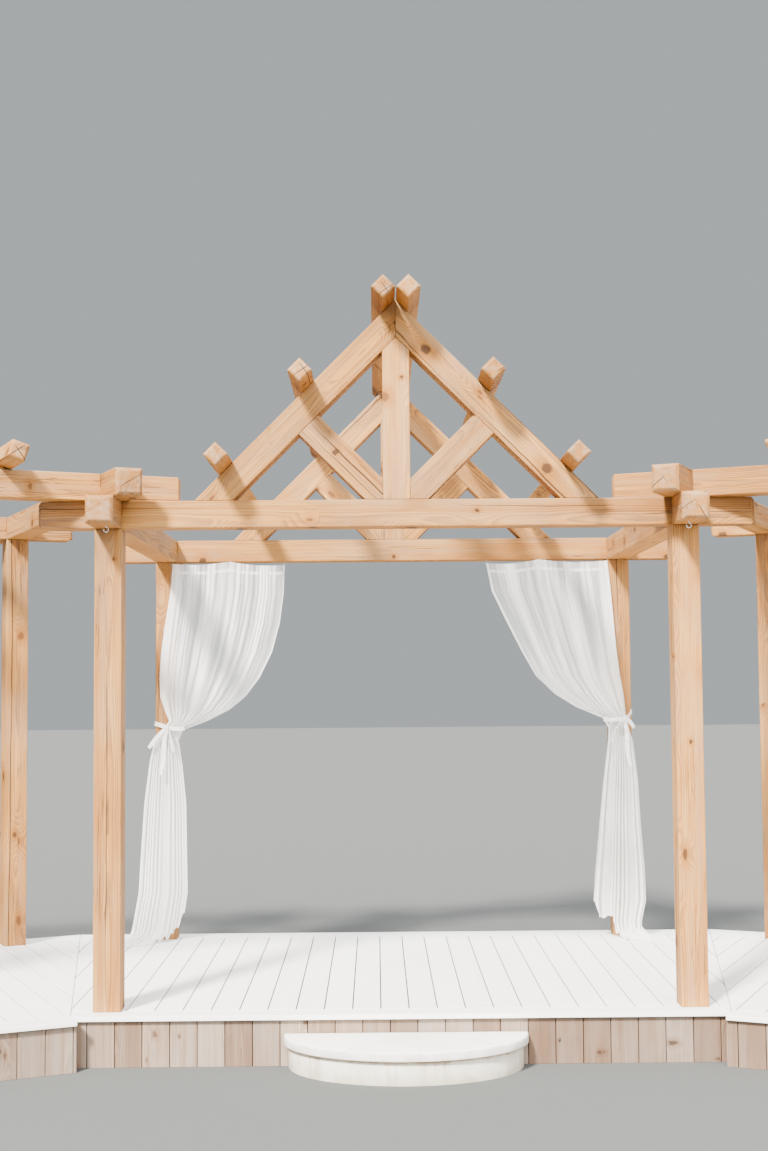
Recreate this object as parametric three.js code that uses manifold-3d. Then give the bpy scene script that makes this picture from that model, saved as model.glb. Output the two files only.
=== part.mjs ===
// Garden wedding canopy: an open timber frame on a low painted deck.
// Three bays stand in a shallow arc. The centre bay carries a steep gable of two trusses and six
// purlins. The two wing bays turn forward, one timber higher, and carry a low gable each.
// Millimetres, +Z up, front towards -Y, ground at z = 0. The origin ends up at the bottom centre.
import * as THREE from 'three';
import { mergeVertices } from 'three/addons/utils/BufferGeometryUtils.js';
import Module from 'manifold-3d';

const wasm = await Module();
wasm.setup();

// Driving dimensions
const TIMBER = 140;            // posts, beams, rafters, struts: square section
const PURLIN = 89;             // purlins and wing rafters: square section
const TAIL = 290;              // beam and purlin ends beyond the timber they cross
const END_CHAMFER = 16;        // bevel round each free beam end
const PURLIN_CHAMFER = 10;     // the same on the lighter purlins
const GAP = 0.3;               // joinery clearance between timbers cut to each other

const BAY_WIDTH = 2960;        // centre bay, post centre to post centre
const BAY_DEPTH = 2310;        // every bay, front post centre to rear post centre
const WING_WIDTH = 2300;       // wing bay, post centre to post centre
const WING_ANGLE = 24.5 * Math.PI / 180;   // each wing turns forward by this much
const POST_HEIGHT = 2440;      // centre posts, from the deck to the underside of the beams

const GABLE_HALF_SPAN = 1040;  // centre line to the outer point of a rafter's foot
const GABLE_PITCH = Math.PI / 4;
const PURLIN_SPACING = 594;    // along the slope, centre to centre
const STRUT_HEAD = 403;        // centre line to the upper corner of a strut's head
const WING_FOOT = 521;         // wing corner post's centre to the rafter's feather end
const WING_PITCH = Math.atan(1 / 3);
const FEATHER = 30;            // how much of a wing rafter's thin tip is cut off

const DECK_HEIGHT = 255;       // ground to the walking surface
const BOARD = 25;              // deck board thickness
const BORDER = 140;            // border board along a section's front and rear
const DECK_FRONT = 172;        // front posts' centres to the centre section's front edge
const DECK_REAR = 160;         // rear posts' centres to its rear edge
const WING_MARGIN = 199;       // post centres to a wing section's front and outer edges
const MITRE_FRONT = 208;       // corner post's centre, along the wing, to the end of its border board
const MITRE_REAR = 2073;       // centre line to the mitre line's rear end
const MITRE_GAP = 3;
const SKIRT = 22;              // skirt board thickness
const SKIRT_INSET = 25;        // deck edge to the skirt's face

const STEP_HALF_WIDTH = 608;   // precast half-round step
const STEP_REACH = 450;
const STEP_TOP = 162;
const STEP_ASIDE = 22;         // it is set this much right of the centre line
const STEP_LIP = 45;           // thickness of the tread slab
const STEP_OVERHANG = 32;      // slab edge beyond the riser

// Curtain outlines from the header down: height above the deck, distance from the centre line to the
// inner and to the outer edge, and thickness front to back. The narrowest level is the tie.
const CURTAIN_RIGHT = [
  [2426, 614, 1409, 26], [2250, 650, 1428, 36], [2050, 742, 1442, 48], [1850, 838, 1456, 60],
  [1680, 928, 1474, 72], [1560, 1048, 1494, 82], [1475, 1184, 1500, 88], [1405, 1330, 1504, 90],
  [1340, 1390, 1520, 92], [1257, 1386, 1546, 96], [1000, 1350, 1574, 104], [730, 1320, 1586, 110],
  [440, 1288, 1602, 118], [237, 1272, 1606, 126], [1, 1290, 1640, 134],
];
const CURTAIN_LEFT = [
  [2426, 704, 1440, 26], [2250, 708, 1454, 36], [2050, 736, 1482, 48], [1850, 792, 1506, 60],
  [1680, 876, 1514, 72], [1560, 966, 1508, 80], [1475, 1068, 1480, 86], [1405, 1210, 1452, 90],
  [1345, 1370, 1500, 90], [1280, 1396, 1550, 94], [1130, 1374, 1580, 100], [880, 1348, 1610, 106],
  [626, 1342, 1626, 112], [312, 1334, 1644, 120], [120, 1362, 1664, 128], [1, 1380, 1700, 134],
];

// Worked out from them
const HALF = TIMBER / 2;
const LEVEL_1 = DECK_HEIGHT + POST_HEIGHT;      // underside of the centre beams
const LEVEL_2 = LEVEL_1 + TIMBER;               // underside of the wing beams, top of the centre beams
const LEVEL_3 = LEVEL_2 + TIMBER;               // top of the wing beams
const CORNER = BAY_WIDTH / 2;                   // centre line to the corner posts
const REACH = HALF + TAIL;                      // post centre to a beam's free end
const GABLE_RISE = GABLE_HALF_SPAN * Math.tan(GABLE_PITCH);
const SLANT = TIMBER / Math.cos(GABLE_PITCH);   // a rafter's thickness measured plumb

const cedar = () => new THREE.MeshStandardMaterial({ color: 0xc9a078, roughness: 0.75, metalness: 0 });
const whitePaint = () => new THREE.MeshStandardMaterial({ color: 0xe9e8e4, roughness: 0.6, metalness: 0 });
const greyCedar = () => new THREE.MeshStandardMaterial({ color: 0xa3897a, roughness: 0.9, metalness: 0 });
const concrete = () => new THREE.MeshStandardMaterial({ color: 0xd8d3c6, roughness: 0.85, metalness: 0 });
const voile = () => new THREE.MeshStandardMaterial({ color: 0xf6f5f2, roughness: 0.8, metalness: 0 });

const group = new THREE.Group();

function add(parent, name, geometry, material) {
  const mesh = new THREE.Mesh(geometry, material);
  mesh.name = name;
  parent.add(mesh);
  return mesh;
}

function toManifold(geometry) {
  const plain = geometry.clone();
  plain.deleteAttribute('normal');
  plain.deleteAttribute('uv');
  const merged = mergeVertices(plain, 1e-4);
  return new wasm.Manifold(new wasm.Mesh({
    numProp: 3,
    vertProperties: new Float32Array(merged.attributes.position.array),
    triVerts: new Uint32Array(merged.index.array),
  }));
}

function toGeometry(solid) {
  const mesh = solid.getMesh();
  const geometry = new THREE.BufferGeometry();
  geometry.setAttribute('position', new THREE.BufferAttribute(mesh.vertProperties, 3));
  geometry.setIndex(new THREE.BufferAttribute(mesh.triVerts, 1));
  geometry.computeVertexNormals();
  return geometry;
}

const outline = (points) => new THREE.Shape(points.map(([x, y]) => new THREE.Vector2(x, y)));

// A flat outline in plan, raised by height
function plate(points, bottom, height) {
  const geometry = new THREE.ExtrudeGeometry(outline(points), { depth: height, bevelEnabled: false });
  return geometry.translate(0, 0, bottom);
}

// An outline seen from the front (x across, z up), given a thickness centred on y = 0
function frontProfile(points, thickness) {
  const geometry = new THREE.ExtrudeGeometry(outline(points), { depth: thickness, bevelEnabled: false });
  return geometry.rotateX(Math.PI / 2).translate(0, thickness / 2, 0);
}

// A timber along X from `from` to `to`, its underside at z = 0 and both free ends bevelled all round.
// Each lap is a notch half the timber deep, cut from the top or the underside at a crossing.
function barGeometry(from, to, size, laps = [], lapSide = 'top') {
  const c = size < TIMBER ? PURLIN_CHAMFER : END_CHAMFER;
  const lapHalf = size / 2 + GAP;
  const [edge, floor] = lapSide === 'top' ? [size, size / 2] : [0, size / 2 + GAP];
  const notch = laps.flatMap((at) => [
    [at - lapHalf, edge], [at - lapHalf, floor], [at + lapHalf, floor], [at + lapHalf, edge],
  ]);
  const under = lapSide === 'top' ? [] : notch;
  const over = lapSide === 'top' ? notch.slice().reverse() : [];
  const side = [[from, c], [from + c, 0], ...under, [to - c, 0], [to, c], [to, size - c],
    [to - c, size], ...over, [from + c, size], [from, size - c]];
  const h = size / 2;
  const plan = [[from, c - h], [from + c, -h], [to - c, -h], [to, c - h], [to, h - c],
    [to - c, h], [from + c, h], [from, h - c]];
  return toGeometry(toManifold(frontProfile(side, size)).intersect(toManifold(plate(plan, 0, size))));
}

// The same timber along Y
const barAlongY = (...spec) => barGeometry(...spec).rotateZ(Math.PI / 2);

function post(parent, name, x, y, bottom, top) {
  const mesh = add(parent, name, new THREE.BoxGeometry(TIMBER, TIMBER, top - bottom), cedar());
  mesh.position.set(x, y, (bottom + top) / 2);
}

// Centre bay: four posts and four beams, half-lapped over the posts
for (const [side, x] of [['left', -CORNER], ['right', CORNER]]) {
  post(group, `post_front_${side}`, x, 0, DECK_HEIGHT, LEVEL_1);
  post(group, `post_rear_${side}`, x, BAY_DEPTH, DECK_HEIGHT, LEVEL_1);
  const beam = barAlongY(-REACH, BAY_DEPTH + REACH, TIMBER, [0, BAY_DEPTH], 'underside');
  add(group, `beam_side_${side}`, beam, cedar()).position.set(x, 0, LEVEL_1);
}
for (const [place, y] of [['front', 0], ['rear', BAY_DEPTH]]) {
  const beam = barGeometry(-CORNER - REACH, CORNER + REACH, TIMBER, [-CORNER, CORNER]);
  add(group, `beam_${place}`, beam, cedar()).position.set(0, y, LEVEL_1);
}

// Centre gable: two trusses of two rafters, a king post and two struts
function rafterOutline(side) {
  const inner = GABLE_RISE - SLANT;
  const foot = GABLE_HALF_SPAN - SLANT / Math.tan(GABLE_PITCH);
  return [[foot, 0], [GABLE_HALF_SPAN, 0], [GAP / 2, GABLE_RISE - GAP / 2], [GAP / 2, inner - GAP / 2]]
    .map(([x, z]) => [side * x, z]);
}

function kingPostOutline() {
  const top = GABLE_RISE - SLANT - GAP * 2;
  return [[-HALF, 0], [HALF, 0], [HALF, top - HALF], [0, top], [-HALF, top - HALF]];
}

// A strut stands square to the rafter and its foot fills the corner of king post and beam
function strutOutline(side) {
  const across = TIMBER * Math.cos(GABLE_PITCH);
  const headZ = GABLE_RISE - SLANT - STRUT_HEAD - GAP * 2;
  const face = HALF + GAP;
  return [[STRUT_HEAD, headZ], [face, headZ - (STRUT_HEAD - face)], [face, 0],
    [STRUT_HEAD + across - (headZ - across), 0], [STRUT_HEAD + across, headZ - across]]
    .map(([x, z]) => [side * x, z]);
}

for (const [place, y] of [['front', 0], ['rear', BAY_DEPTH]]) {
  const truss = new THREE.Group();
  truss.position.set(0, y, LEVEL_2);
  group.add(truss);
  add(truss, `truss_${place}_king_post`, frontProfile(kingPostOutline(), TIMBER), cedar());
  for (const [hand, side] of [['left', -1], ['right', 1]]) {
    add(truss, `truss_${place}_rafter_${hand}`, frontProfile(rafterOutline(side), TIMBER), cedar());
    add(truss, `truss_${place}_strut_${hand}`, frontProfile(strutOutline(side), TIMBER), cedar());
  }
}

// A purlin lies on a slope that falls away at `pitch`, its base centre at (x, z)
function purlin(parent, name, x, z, pitch) {
  const mesh = add(parent, name, barAlongY(-REACH, BAY_DEPTH + REACH, PURLIN), cedar());
  mesh.rotation.y = pitch;
  mesh.position.set(x + GAP * Math.sin(pitch), 0, z + GAP * Math.cos(pitch));
}

const rows = ['ridge', 'middle', 'low'];
for (const [hand, side] of [['left', -1], ['right', 1]]) {
  rows.forEach((row, i) => {
    const along = PURLIN / 2 + 1 + i * PURLIN_SPACING;
    const x = side * along * Math.cos(GABLE_PITCH);
    const z = LEVEL_2 + GABLE_RISE - along * Math.sin(GABLE_PITCH);
    purlin(group, `purlin_${hand}_${row}`, x, z, side * GABLE_PITCH);
  });
}

// Wing rafter: thin tip at the foot, level seat for the ridge purlin at the top
function wingRafterOutline() {
  const run = WING_WIDTH / 2 - WING_FOOT;
  const slope = Math.tan(WING_PITCH);
  const rise = run * slope;
  const seat = PURLIN / 2;
  const underFoot = PURLIN / Math.sin(WING_PITCH);
  const plumb = PURLIN / Math.cos(WING_PITCH);
  return [[FEATHER, 0], [underFoot, 0], [run - GAP, rise - plumb], [run - GAP, rise - seat * slope],
    [run - seat, rise - seat * slope], [FEATHER, FEATHER * slope]];
}

// A wing bay in its own frame: the centre bay's front corner post at (0, 0), outward along X
function wing(hand, side) {
  const bay = new THREE.Group();
  bay.position.set(side * CORNER, 0, 0);
  bay.rotation.z = -side * WING_ANGLE;
  group.add(bay);
  const name = (piece) => `wing_${hand}_${piece}`;
  const outer = side * WING_WIDTH;

  post(bay, name('post_inner'), 0, BAY_DEPTH, DECK_HEIGHT, LEVEL_2);
  post(bay, name('post_outer_front'), outer, 0, DECK_HEIGHT, LEVEL_2);
  post(bay, name('post_outer_rear'), outer, BAY_DEPTH, DECK_HEIGHT, LEVEL_2);

  const ends = [Math.min(0, outer) - REACH, Math.max(0, outer) + REACH];
  for (const [place, y] of [['front', 0], ['rear', BAY_DEPTH]]) {
    add(bay, name(`beam_${place}`), barGeometry(...ends, TIMBER, [Math.min(0, outer), Math.max(0, outer)]),
      cedar()).position.set(0, y, LEVEL_2);
  }
  for (const [place, x] of [['inner', 0], ['outer', outer]]) {
    const beam = barAlongY(-REACH, BAY_DEPTH + REACH, TIMBER, [0, BAY_DEPTH], 'underside');
    add(bay, name(`beam_${place}`), beam, cedar()).position.set(x, 0, LEVEL_2);
  }

  for (const [place, y] of [['front', 0], ['rear', BAY_DEPTH]]) {
    for (const [end, foot, way] of [['inner', WING_FOOT, 1], ['outer', WING_WIDTH - WING_FOOT, -1]]) {
      const points = wingRafterOutline().map(([x, z]) => [side * (foot + way * x), z]);
      add(bay, name(`rafter_${place}_${end}`), frontProfile(points, PURLIN), cedar())
        .position.set(0, y, LEVEL_3);
    }
  }

  const onSlope = PURLIN / 2;
  const inward = WING_FOOT + onSlope * Math.cos(WING_PITCH);
  const lift = LEVEL_3 + onSlope * Math.sin(WING_PITCH);
  const rise = (WING_WIDTH / 2 - WING_FOOT) * Math.tan(WING_PITCH);
  purlin(bay, name('purlin_inner'), side * inward, lift, -side * WING_PITCH);
  purlin(bay, name('purlin_outer'), side * (WING_WIDTH - inward), lift, side * WING_PITCH);
  purlin(bay, name('purlin_ridge'), side * WING_WIDTH / 2,
    LEVEL_3 + rise - onSlope * Math.tan(WING_PITCH), 0);
}

wing('left', -1);
wing('right', 1);

// Deck: three sections that meet on mitre lines. A wing section's edges run with its beams, and the
// square end of its front border board stands proud of the centre section's edge.
const sin = Math.sin(WING_ANGLE);
const cos = Math.cos(WING_ANGLE);
const deckRear = BAY_DEPTH + DECK_REAR;
const wingRear = (MITRE_REAR - CORNER) * sin + deckRear * cos;

// A point of the right wing's frame, in the whole's
const wingPoint = (x, y) => [CORNER + x * cos + y * sin, -x * sin + y * cos];

// Where a line along the wing's depth, at `x` in its frame, meets the line at `y` in the whole's
const alongWing = (x, y) => wingPoint(x, (y + x * sin) / cos);

const mirrored = (points) => points.map(([x, y]) => [-x, y]).reverse();
const boards = DECK_HEIGHT - BOARD;
const borderLine = BORDER - WING_MARGIN;
const centreEdge = [alongWing(MITRE_FRONT, -DECK_FRONT), wingPoint(MITRE_FRONT, borderLine),
  [MITRE_REAR, deckRear]];
const wingEnd = WING_WIDTH + WING_MARGIN;
const wingEdge = [wingPoint(MITRE_FRONT + MITRE_GAP, -WING_MARGIN), wingPoint(wingEnd, -WING_MARGIN),
  wingPoint(wingEnd, wingRear), [MITRE_REAR + MITRE_GAP, deckRear],
  wingPoint(MITRE_FRONT + MITRE_GAP, borderLine)];

add(group, 'deck_centre', plate([...centreEdge, ...mirrored(centreEdge)], boards, BOARD), whitePaint());
add(group, 'deck_left', plate(mirrored(wingEdge), boards, BOARD), whitePaint());
add(group, 'deck_right', plate(wingEdge, boards, BOARD), whitePaint());

// Skirt: one wall of upright boards all round, under the deck's edge. This is its outline, `inward`
// from the deck's edges. Where a wing starts, the wall's end is flush with the deck's.
function skirtOutline(inward) {
  const rear = deckRear - inward;
  const back = wingRear - inward;
  const start = MITRE_FRONT + inward - SKIRT_INSET;
  const end = wingEnd - inward;
  const half = [
    alongWing(start, inward - DECK_FRONT), wingPoint(start, inward - WING_MARGIN),
    wingPoint(end, inward - WING_MARGIN), wingPoint(end, back),
    [CORNER + (back - rear * cos) / sin, rear],
  ];
  return [...half, ...mirrored(half)];
}

const overcut = 10;
const skirtRing = toManifold(plate(skirtOutline(SKIRT_INSET), 0, boards))
  .subtract(toManifold(plate(skirtOutline(SKIRT_INSET + SKIRT), -overcut, boards + 2 * overcut)));
add(group, 'deck_skirt', toGeometry(skirtRing), greyCedar());

// Step: a half-round tread slab over a half-round riser, cast in one piece
function halfRound(inward, bottom, top) {
  const steps = 24;
  const points = [];
  for (let i = 0; i <= steps; i += 1) {
    const angle = Math.PI * (1 + i / steps);
    points.push([(STEP_HALF_WIDTH - inward) * Math.cos(angle), (STEP_REACH - inward) * Math.sin(angle)]);
  }
  return toManifold(plate(points, bottom, top - bottom));
}

const riser = halfRound(STEP_OVERHANG, 0, STEP_TOP - STEP_LIP + 5);
const tread = halfRound(0, STEP_TOP - STEP_LIP, STEP_TOP);
add(group, 'step', toGeometry(riser.add(tread)), concrete())
  .position.set(STEP_ASIDE, SKIRT_INSET - DECK_FRONT - GAP, 0);

// Curtains: plain closed bodies with the cloth's outer shape. They hang just ahead of the rear posts,
// and from the tie down their back lies against the front of the post.
function curtain(levels, side) {
  const sides = 12;
  const positions = [];
  const back = BAY_DEPTH - HALF - GAP;
  for (const [height, inner, outer, thickness] of levels) {
    const half = (outer - inner) / 2;
    for (let i = 0; i < sides; i += 1) {
      const angle = 2 * Math.PI * i / sides;
      positions.push(side * (inner + half) + half * Math.cos(angle),
        back - thickness / 2 + thickness / 2 * Math.sin(angle), DECK_HEIGHT + height);
    }
  }
  const last = levels.length - 1;
  const index = [];
  for (let level = 0; level < last; level += 1) {
    for (let i = 0; i < sides; i += 1) {
      const [a, b] = [level * sides + i, level * sides + (i + 1) % sides];
      index.push(a, a + sides, b, b, a + sides, b + sides);
    }
  }
  for (let i = 1; i < sides - 1; i += 1) {
    index.push(0, i, i + 1);
    index.push(last * sides, last * sides + i + 1, last * sides + i);
  }
  const geometry = new THREE.BufferGeometry();
  geometry.setAttribute('position', new THREE.Float32BufferAttribute(positions, 3));
  geometry.setIndex(index);
  geometry.computeVertexNormals();
  return geometry;
}

add(group, 'curtain_right', curtain(CURTAIN_RIGHT, 1), voile());
add(group, 'curtain_left', curtain(CURTAIN_LEFT, -1), voile());

// Origin to the bottom centre of the whole
group.updateMatrixWorld(true);
const middle = new THREE.Box3().setFromObject(group, true).getCenter(new THREE.Vector3());
group.position.set(-middle.x, -middle.y, 0);

export default group;
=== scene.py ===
# %% [markdown]
# # A garden wedding canopy in heavy timber
#
# The canopy is a post and beam frame on a low white deck: a centre bay under a steep trussed gable,
# a lower wing on each side, and two sheer curtains tied back to the rear posts. Its solids are
# already exact. This lesson gives each of them the surface that the real piece has.
# Everything below is in metres, with Z up, and the front of the canopy looks towards -Y.

import math
import random

import bmesh
import bpy
from mathutils import Matrix, Vector, noise


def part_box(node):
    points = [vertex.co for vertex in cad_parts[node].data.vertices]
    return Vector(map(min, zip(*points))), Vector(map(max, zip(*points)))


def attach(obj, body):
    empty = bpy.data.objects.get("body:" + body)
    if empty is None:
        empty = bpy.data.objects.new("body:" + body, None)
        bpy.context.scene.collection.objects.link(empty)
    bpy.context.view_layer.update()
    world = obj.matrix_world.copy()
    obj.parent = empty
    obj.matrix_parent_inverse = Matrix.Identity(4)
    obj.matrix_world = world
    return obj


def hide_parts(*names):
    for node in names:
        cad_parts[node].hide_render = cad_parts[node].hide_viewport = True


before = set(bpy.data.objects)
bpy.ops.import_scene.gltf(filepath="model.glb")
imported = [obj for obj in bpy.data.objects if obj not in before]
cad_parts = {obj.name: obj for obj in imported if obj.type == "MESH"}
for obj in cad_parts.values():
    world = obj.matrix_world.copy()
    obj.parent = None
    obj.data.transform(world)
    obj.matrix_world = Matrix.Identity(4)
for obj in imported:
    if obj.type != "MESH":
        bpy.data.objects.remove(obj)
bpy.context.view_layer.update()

# %% [markdown]
# ## The camera
#
# The photograph was taken from 7 m in front of the deck, with the camera tipped up a little. The
# eye's place, the three small turns and the focal length come from matching posts, beams and deck
# edges to their places in the picture. The focal length is first in pixels of a picture 1151 pixels
# tall, and the lens follows from it, whatever size the picture is rendered at.

# %% Camera
PICTURE_HEIGHT = 1151
FOCAL_PIXELS = 1610.5
SENSOR = 36.0
EYE = Vector((-0.1160, -8.9720, 1.8951))
TIPPED_UP, TURNED_RIGHT, ROLLED = 0.0666, 0.0057, -0.0081
FAR = 200


def stand(name, data):
    """Puts data into the scene as an object at the origin."""
    thing = bpy.data.objects.new(name, data)
    bpy.context.scene.collection.objects.link(thing)
    return thing


lens = bpy.data.cameras.new("camera")
lens.sensor_width = SENSOR
lens.lens = SENSOR * FOCAL_PIXELS / PICTURE_HEIGHT
lens.clip_end = FAR
camera = stand("camera", lens)
turned = Matrix.Rotation(-TURNED_RIGHT, 3, "Z") @ Matrix.Rotation(math.pi / 2 + TIPPED_UP, 3, "X")
camera.matrix_world = Matrix.Translation(EYE) @ (turned @ Matrix.Rotation(ROLLED, 3, "Z")).to_4x4()
bpy.context.scene.camera = camera
print("lens:", round(lens.lens, 2), "mm")

# %% [markdown]
# ## Light and floor
#
# The canopy stands in the open with the sun high on its left. A wide, soft sun from that side and a
# pale sky all round give the same shading as a studio with one large lamp and white walls. Two broad,
# weaker panels, in front and behind, keep the shaded sides of the timbers readable. The floor is
# plain and a shade darker than the white deck and cloth, so that both stand out from it.

# %% Sun, sky and floor


def add_sun(name, height, side, energy, softness, colour):
    """A distant lamp: height above the horizon and side from straight ahead, in degrees."""
    data = bpy.data.lights.new(name, "SUN")
    data.energy, data.angle, data.color = energy, math.radians(softness), colour
    stand(name, data).rotation_euler = (math.radians(90 - height), 0, math.radians(side))


add_sun("sun", height=41, side=-27, energy=20.0, softness=8, colour=(1.0, 0.95, 0.87))
add_sun("front_panel", height=30, side=14, energy=8.5, softness=80, colour=(1.0, 0.985, 0.96))
add_sun("rear_panel", height=40, side=165, energy=4.5, softness=80, colour=(0.95, 0.98, 1.0))

SKY_COLOUR, SKY_STRENGTH = (0.58, 0.62, 0.64), 0.80
sky = bpy.data.worlds.new("sky")
sky.use_nodes = True
background = sky.node_tree.nodes["Background"].inputs
background["Color"].default_value, background["Strength"].default_value = (*SKY_COLOUR, 1), SKY_STRENGTH
bpy.context.scene.world = sky

FLOOR_HALF = 60
floor_mesh = bmesh.new()
bmesh.ops.create_grid(floor_mesh, x_segments=1, y_segments=1, size=FLOOR_HALF)
floor_data = bpy.data.meshes.new("floor")
floor_mesh.to_mesh(floor_data)
floor_mesh.free()
floor = stand("floor", floor_data)
print("lights:", len(bpy.data.lights), "floor:", 2 * FLOOR_HALF, "m square")

# %% [markdown]
# ## A kit for materials
#
# Every finish here is made of nodes, because wood, paint and concrete all vary in three dimensions
# and no picture is needed for that. `Look` holds one material while it is being built. Its methods
# add a node each and hand back the socket that the next one reads, so a finish reads as a recipe.

# %% Material kit
class Look:
    """One material under construction, with a Principled shader at its end."""

    def __init__(self, name):
        self.material = bpy.data.materials.new(name)
        self.material.use_nodes = True
        self.tree = self.material.node_tree
        self.shader = self.tree.nodes["Principled BSDF"]

    def node(self, kind, sockets=(), **settings):
        made = self.tree.nodes.new(kind)
        for key, value in settings.items():
            setattr(made, key, value)
        for key, value in dict(sockets).items():
            self.put(made.inputs[key], value)
        return made

    def put(self, socket, value):
        """Links a socket to another one, or sets its value."""
        if isinstance(value, bpy.types.NodeSocket):
            self.tree.links.new(value, socket)
        elif isinstance(value, (tuple, list)) and len(value) == 3 and socket.type == "RGBA":
            socket.default_value = (*value, 1)
        else:
            socket.default_value = value

    def attribute(self, name, output):
        return self.node("ShaderNodeAttribute", attribute_name=name).outputs[output]

    def place(self):
        return self.node("ShaderNodeTexCoord").outputs["Object"]

    def stretched(self, vector, scale):
        return self.node("ShaderNodeMapping", {"Vector": vector, "Scale": scale}).outputs[0]

    def noise(self, vector, scale=1.0, detail=3.0, rough=0.5, output="Fac"):
        """scale is one number, or one for each axis, where the noise is drawn out along some."""
        if isinstance(scale, tuple):
            vector, scale = self.stretched(vector, scale), 1.0
        made = self.node("ShaderNodeTexNoise",
                         {"Vector": vector, "Scale": scale, "Detail": detail, "Roughness": rough})
        return made.outputs[output]

    def sum(self, operation, a, b=0.0, clamp=False):
        made = self.node("ShaderNodeMath", {0: a, 1: b}, operation=operation, use_clamp=clamp)
        return made.outputs[0]

    def times(self, a, b, clamp=False):
        return self.sum("MULTIPLY", a, b, clamp)

    def plus(self, a, b, clamp=False):
        return self.sum("ADD", a, b, clamp)

    def less(self, a, b):
        return self.sum("SUBTRACT", a, b)

    def vector(self, operation, a, b=(0, 0, 0)):
        return self.node("ShaderNodeVectorMath", {0: a, 1: b}, operation=operation).outputs[0]

    def scaled(self, vector, factor):
        made = self.node("ShaderNodeVectorMath", {0: vector, "Scale": factor}, operation="SCALE")
        return made.outputs[0]

    def dot(self, a, b):
        return self.node("ShaderNodeVectorMath", {0: a, 1: b}, operation="DOT_PRODUCT").outputs["Value"]

    def size(self, vector):
        return self.node("ShaderNodeVectorMath", {0: vector}, operation="LENGTH").outputs["Value"]

    def stray(self, vector, scale, reach, detail=2.0, rough=0.5):
        """A noise that moves a point by up to half this reach, across the grain and not along it."""
        wander = self.noise(vector, scale, detail, rough, output="Color")
        wander = self.vector("SUBTRACT", wander, (0.5, 0.5, 0.5))
        return self.vector("MULTIPLY", wander, (0, reach, reach))

    def split(self, vector):
        return self.node("ShaderNodeSeparateXYZ", {0: vector}).outputs

    def facing(self):
        """The surface's outward direction."""
        return self.node("ShaderNodeNewGeometry").outputs["Normal"]

    def across_grain(self):
        """How squarely the surface cuts the grain: 0 on a long face, 1 on a sawn end."""
        return self.sum("ABSOLUTE", self.dot(self.attribute("grain_way", "Vector"), self.facing()))

    def between(self, value, low, high, to_low=0.0, to_high=1.0):
        """Low to high becomes to_low to to_high, with soft ends, and holds outside."""
        made = self.node("ShaderNodeMapRange", interpolation_type="SMOOTHSTEP")
        for key, number in (("Value", value), ("From Min", low), ("From Max", high),
                            ("To Min", to_low), ("To Max", to_high)):
            self.put(made.inputs[key], number)
        return made.outputs["Result"]

    def mixed(self, share, first, second, blend="MIX"):
        made = self.node("ShaderNodeMix", data_type="RGBA", blend_type=blend)
        for key, value in ((0, share), (6, first), (7, second)):
            self.put(made.inputs[key], value)
        return made.outputs[2]

    def over(self, under, colour, mask, low, high, most=1.0):
        """Lays a colour over another one where the mask rises from low to high."""
        return self.mixed(self.between(mask, low, high, 0.0, most), under, colour)

    def bump(self, height, depth, strength=1.0, after=None):
        made = self.node("ShaderNodeBump", {"Height": height, "Distance": depth, "Strength": strength})
        if after is not None:
            self.put(made.inputs["Normal"], after)
        return made.outputs[0]

    def done(self, **inputs):
        for key, value in inputs.items():
            self.put(self.shader.inputs[key.replace("_", " ")], value)
        return self.material


floor_look = Look("plain_floor")
floor_data.materials.append(floor_look.done(Base_Color=(0.105, 0.11, 0.11), Roughness=0.9,
                                            Specular_IOR_Level=0.0))
print("materials so far:", len(bpy.data.materials))

# %% [markdown]
# ## Sawn timber
#
# A post is cut from a log, so its figure is a solid one: growth rings round a heart line, seen as
# stripes along the faces and as arcs on the ends. Each piece carries its own place in the log as a
# vertex attribute called `log`, with X along the grain and the heart line at Y = Z = 0. One material
# then gives every piece a grain of its own that turns the corners properly.
#
# Over the rings come the knots, which push the rings aside. Drying checks are the long cracks that
# open from the heart outwards, so here they are two wavy planes through the heart line, and noise
# along them decides where they gape. The sun greys what faces up, and the end grain drinks in dirt.
# Faces turned down are painted a warmer honey, as painted bounce light from the white deck below.

# %% Knots
KNOT_ALONG, KNOT_ROUND = 2.3, 0.85    # how closely branches are set, per metre and round the heart
KNOT_SIZE = 0.024


def knots_in(look, log, grown, radius, ray, largest):
    """Branches that run straight out from the heart line: one Voronoi cell each, drawn out along ray.

    Gives the knot, the halo round it, how much it pushes the rings aside and its own chance."""
    sparse = look.vector("ADD", look.vector("MULTIPLY", grown, (KNOT_ALONG, 0, 0)),
                         look.scaled(ray, KNOT_ROUND))
    branch = look.node("ShaderNodeTexVoronoi", {"Vector": sparse, "Scale": 1.0})
    away = look.vector("SUBTRACT", branch.outputs["Position"], sparse)
    away = look.vector("SUBTRACT", away, look.scaled(ray, look.dot(away, ray)))
    along = look.vector("MULTIPLY", away, (0.6 / KNOT_ALONG, 0, 0))
    aside = look.scaled(look.vector("MULTIPLY", away, (0, 1 / KNOT_ROUND, 1 / KNOT_ROUND)), radius)
    chance = look.split(branch.outputs["Color"])
    knot_size = look.between(chance[0], 0.42, 1.0, 0.0, largest)
    knot_reach = look.size(look.vector("ADD", along, aside))
    ragged = look.times(look.less(look.noise(log, 60, detail=1.0), 0.5), 0.010)
    knot_edge = look.plus(knot_reach, ragged)
    knot = look.between(knot_edge, look.times(knot_size, 0.55), knot_size, 1.0, 0.0)
    halo = look.between(knot_edge, look.times(knot_size, 0.9), look.times(knot_size, 3.0), 1.0, 0.0)
    swirl = look.times(look.between(knot_reach, 0.0, 0.11, 1.0, 0.0), knot_size)
    return knot, halo, swirl, chance[1]


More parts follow.
